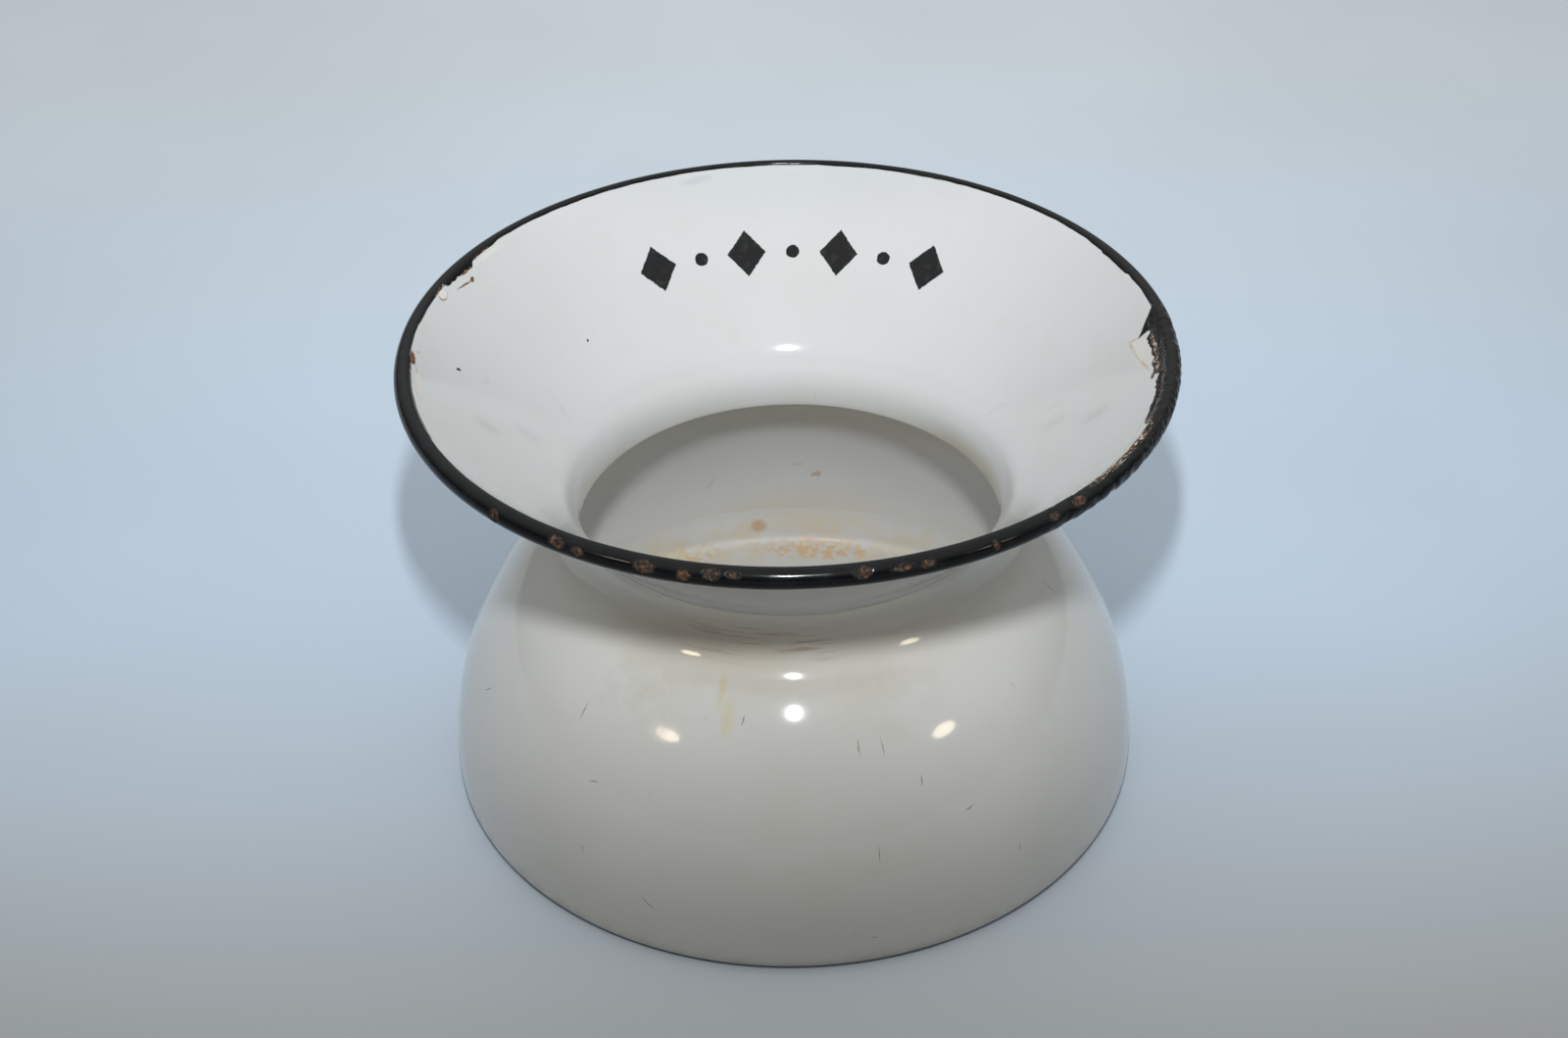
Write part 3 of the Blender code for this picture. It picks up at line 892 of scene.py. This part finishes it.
def rim_material():
    """Black glassy enamel, with chips down to rusted steel and a worn, pitted stretch."""
    black = Finish("rim_enamel_black", (0.0035, 0.0037, 0.0045), 0.13)
    # Duller hazy patches, tinted blue-grey partly as a painted reflection of the pale floor
    haze = black.step(black.noise(5.0, 5.0), 0.45, 0.75)
    black.paint(black.times(haze, 0.5), (0.009, 0.0105, 0.013))
    black.dull(haze, 0.20)
    worn = black.value("worn")
    pits = black.step(black.noise(1.4, 4.0), 0.48, 0.62)
    black.paint(black.times(worn, pits, 0.6), (0.014, 0.013, 0.012))
    black.dull(black.times(worn, pits), 0.42)
    black.lift(black.times(worn, black.noise(1.3, 4.0)), 0.26)

    mottle = black.step(black.noise(1.3, 4.0), 0.42, 0.72)
    rusty = black.mix(mottle, (*RUST_DARK, 1.0), (*RUST, 1.0))
    grey = black.times(black.step(black.noise(0.9, 3.0), 0.55, 0.70), 0.5)
    rusty = black.mix(grey, rusty, (0.105, 0.078, 0.066, 1.0))
    dark = black.step(black.noise(0.75, 4.0), 0.52, 0.40)
    rusty = black.mix(dark, rusty, (0.014, 0.011, 0.010, 1.0))
    ripple = black.math("MULTIPLY_ADD", black.noise(0.9, 4.0), 0.9, -0.45)
    chip = black.math("ADD", black.value("chip"), ripple)
    open_chip = black.step(chip, -0.05, 0.12)
    black.paint(open_chip, rusty)
    black.dull(black.step(chip, -0.55, -0.15), 0.75)
    black.lift(black.times(open_chip, black.noise(0.6, 4.0)), 0.05)

    # Brown and cream where the edge of the black has flaked, on the worn stretch and opposite it
    edge = black.value("edge")
    flake = black.step(black.math("ADD", edge, black.noise(1.0, 4.0)), 1.05, 0.65)
    left = black.mark(black.place, (156.0, 91.0, 124.0), 0.0, 45.0, (8.0, 13.0, 8.0), 0.5)
    near_left = black.mark(black.place, (-177.0, 91.0, 124.0), 0.0, 45.0, (8.0, 7.0, 8.0), 0.5)
    gate = black.either([worn, left, near_left])
    gate = black.times(gate, black.step(black.noise(3.0, 2.0), 0.42, 0.56))
    shade = black.mix(black.step(black.noise(0.8, 3.0), 0.50, 0.62), (*RUST, 1.0), (*CREAM, 1.0))
    black.paint(black.times(flake, gate, 0.9), shade)
    black.dull(black.times(flake, gate), 0.6)

    def stretch(azimuth, half_length, soft):
        """Mask of a stretch of the rim."""
        return black.mark(black.place, (azimuth, 91.0, 124.0), 0.0, 45.0,
                          (9.0, half_length, 9.0), soft)

    # A strip along the worn edge where the black is off, and flaked lines farther round
    strip = black.times(black.step(edge, 0.7, 1.0), black.step(edge, 2.1, 1.7),
                        black.step(black.noise(2.0, 3.0), 0.40, 0.52), stretch(-3.0, 9.5, 0.3))
    run = black.along_rim(edge)
    lines = black.times(black.step(black.noise(0.42, 2.0, (9.0, 1.0, 1.0), where=run), 0.48, 0.53),
                        black.step(edge, 2.5, 1.4), stretch(-33.0, 15.0, 0.5))
    brown = black.times(black.step(edge, 2.6, 1.4), black.step(black.noise(1.2, 3.0), 0.36, 0.50),
                        worn, stretch(-15.0, 12.0, 0.5))
    black.paint(black.times(brown, 0.9), (0.022, 0.013, 0.009))
    black.dull(brown, 0.85)
    bare = black.either([strip, lines])
    black.paint(black.times(strip, 0.9), shade)
    flecks = black.step(black.noise(0.8, 3.0), 0.44, 0.58)
    pale = black.mix(flecks, (*RUST, 1.0), (*CREAM, 1.0))
    black.paint(black.times(lines, 0.85), pale)
    black.dull(bare, 0.6)
    black.lift(bare, -0.08)
    black.lift(black.noise(3.0, 2.0), 0.015)
    return black.finish(gloss=0.28)


def wire_material():
    """Drawn steel wire, dull and freckled with rust."""
    steel = Finish("wire_steel_rusted", (0.30, 0.28, 0.26), 0.45)
    patches = steel.step(steel.noise(4.0, 5.0), 0.45, 0.62)
    steel.paint(steel.times(patches, 0.8), (0.20, 0.11, 0.06))
    steel.dull(patches, 0.75)
    steel.lift(steel.noise(0.8, 4.0), 0.03)
    return steel.finish(metallic=0.75)


def floor_material():
    """Plain pale floor with a trace of unevenness, with painted shade in front and painted light
    behind.
    """
    pale = Finish("floor_pale", (0.41, 0.402, 0.385), 0.5)
    depth = pale.vector("DOT_PRODUCT", pale.place, (0.0, 1.0, 0.0))
    # Painted shade in front and painted light at the back, over the floor's pale blue-grey
    pale.paint(pale.step(depth, -190.0, 90.0), (0.62, 0.745, 0.90))
    pale.paint(pale.step(depth, 60.0, 520.0), (0.755, 0.815, 0.88))
    pale.paint(pale.step(depth, -195.0, -600.0), (0.50, 0.55, 0.61))
    cloud = pale.step(pale.noise(160.0, 3.0), 0.35, 0.65)
    pale.paint(pale.times(cloud, 0.12), (0.50, 0.54, 0.58))
    return pale.finish()


# Stage

def build_floor():
    size = 6.0
    steps = 24
    work = bmesh.new()
    bmesh.ops.create_grid(work, x_segments=steps, y_segments=steps, size=size / 2.0)
    mesh = bpy.data.meshes.new("floor")
    work.to_mesh(mesh)
    work.free()
    floor = bpy.data.objects.new("floor", mesh)
    bpy.context.scene.collection.objects.link(floor)
    mesh.materials.append(floor_material())


def aim(obj, target):
    direction = Vector(target) - obj.location
    obj.rotation_euler = direction.to_track_quat("-Z", "Y").to_euler()


def add_light(name, location, target, size, power, colour, spread=180.0):
    """An oval lamp: size is its width and height, and spread the angle of its beam in degrees."""
    data = bpy.data.lights.new(name, "AREA")
    data.shape = "ELLIPSE"
    data.size, data.size_y = size
    data.energy = power
    data.color = colour
    data.spread = math.radians(spread)
    light = bpy.data.objects.new(name, data)
    bpy.context.scene.collection.objects.link(light)
    light.location = location
    aim(light, target)
    return light


def light_scene(bowl, rim):
    """One key light above the camera, two small warm lamps that only show on the bowl and the
    rim, and a soft surround that is brightest overhead and darkest towards the camera."""
    add_light("key", (0.0, -0.465, 0.585), (0.0, 0.62, 0.0), (0.017, 0.066), 0.90,
              (0.97, 0.99, 1.0), 76.0)
    shoulder = Vector((0.0, -0.07, 0.06))
    warm = (1.0, 0.86, 0.66)
    only_bowl = bpy.data.collections.new("warm_lamps_on")
    only_bowl.objects.link(bowl)
    only_bowl.objects.link(rim)
    for name, way, power in (("warm_left", (-0.655, -0.569, 0.483), 2.1),
                             ("warm_right", (0.747, -0.482, 0.392), 1.7)):
        lamp = add_light(name, shoulder + 2.2 * Vector(way), shoulder, (0.32, 0.20), power, warm)
        lamp.light_linking.receiver_collection = only_bowl
    world = bpy.data.worlds.new("soft_room")
    world.use_nodes = True
    nodes, links = world.node_tree.nodes, world.node_tree.links
    way = nodes.new("ShaderNodeTexCoord")
    up = nodes.new("ShaderNodeVectorMath")
    up.operation = "DOT_PRODUCT"
    up.inputs[1].default_value = (0.0, 0.20, 0.98)
    links.new(way.outputs["Generated"], up.inputs[0])
    height = nodes.new("ShaderNodeMapRange")
    height.interpolation_type = "SMOOTHSTEP"
    height.inputs["To Min"].default_value = 0.06
    height.inputs["To Max"].default_value = 0.76
    links.new(up.outputs["Value"], height.inputs["Value"])
    background = nodes["Background"]
    background.inputs["Color"].default_value = (0.98, 1.0, 0.98, 1.0)
    links.new(height.outputs[0], background.inputs["Strength"])
    bpy.context.scene.world = world
    bpy.context.scene.view_settings.view_transform = "Standard"


def add_camera():
    """Camera in front of and above the object, looking down at it."""
    location = Vector((0.0, -0.5479, 0.4633))
    pitch, yaw, roll = 0.6199, -0.0028, -0.0194
    forward = Vector((math.sin(yaw) * math.cos(pitch), math.cos(yaw) * math.cos(pitch),
                      -math.sin(pitch)))
    right = Vector((math.cos(yaw), -math.sin(yaw), 0.0))
    up = right.cross(forward)
    side = right * math.cos(roll) + up * math.sin(roll)
    top = up * math.cos(roll) - right * math.sin(roll)
    data = bpy.data.cameras.new("camera")
    data.sensor_fit = "HORIZONTAL"
    data.sensor_width = 36.0
    data.lens = 60.75
    camera = bpy.data.objects.new("camera", data)
    bpy.context.scene.collection.objects.link(camera)
    turned = Matrix((side, top, -forward)).transposed().to_4x4()
    camera.matrix_world = Matrix.Translation(location) @ turned
    bpy.context.scene.camera = camera


def build_object():
    bowl = sheet_piece("bowl", bowl_lines(), even_columns(360), False)
    dress(bowl, bowl_material(), "bowl_shell")
    pan = sheet_piece("pan", pan_lines(), even_columns(360), False)
    dress(pan, pan_material(), "base_pan")
    flare = sheet_piece("flare", top_lines(), even_columns(540), True)
    dress(flare, flare_material(), "flared_top")
    rim = sweep("rim_coat", rim_columns(), coat_section, ("chip", "edge", "worn"))
    dress(rim, rim_material(), "rim_enamel")
    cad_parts["rim_wire"].material_slots[0].material = wire_material()
    return bowl, rim


add_camera()
shown_bowl, shown_rim = build_object()
build_floor()
light_scene(shown_bowl, shown_rim)
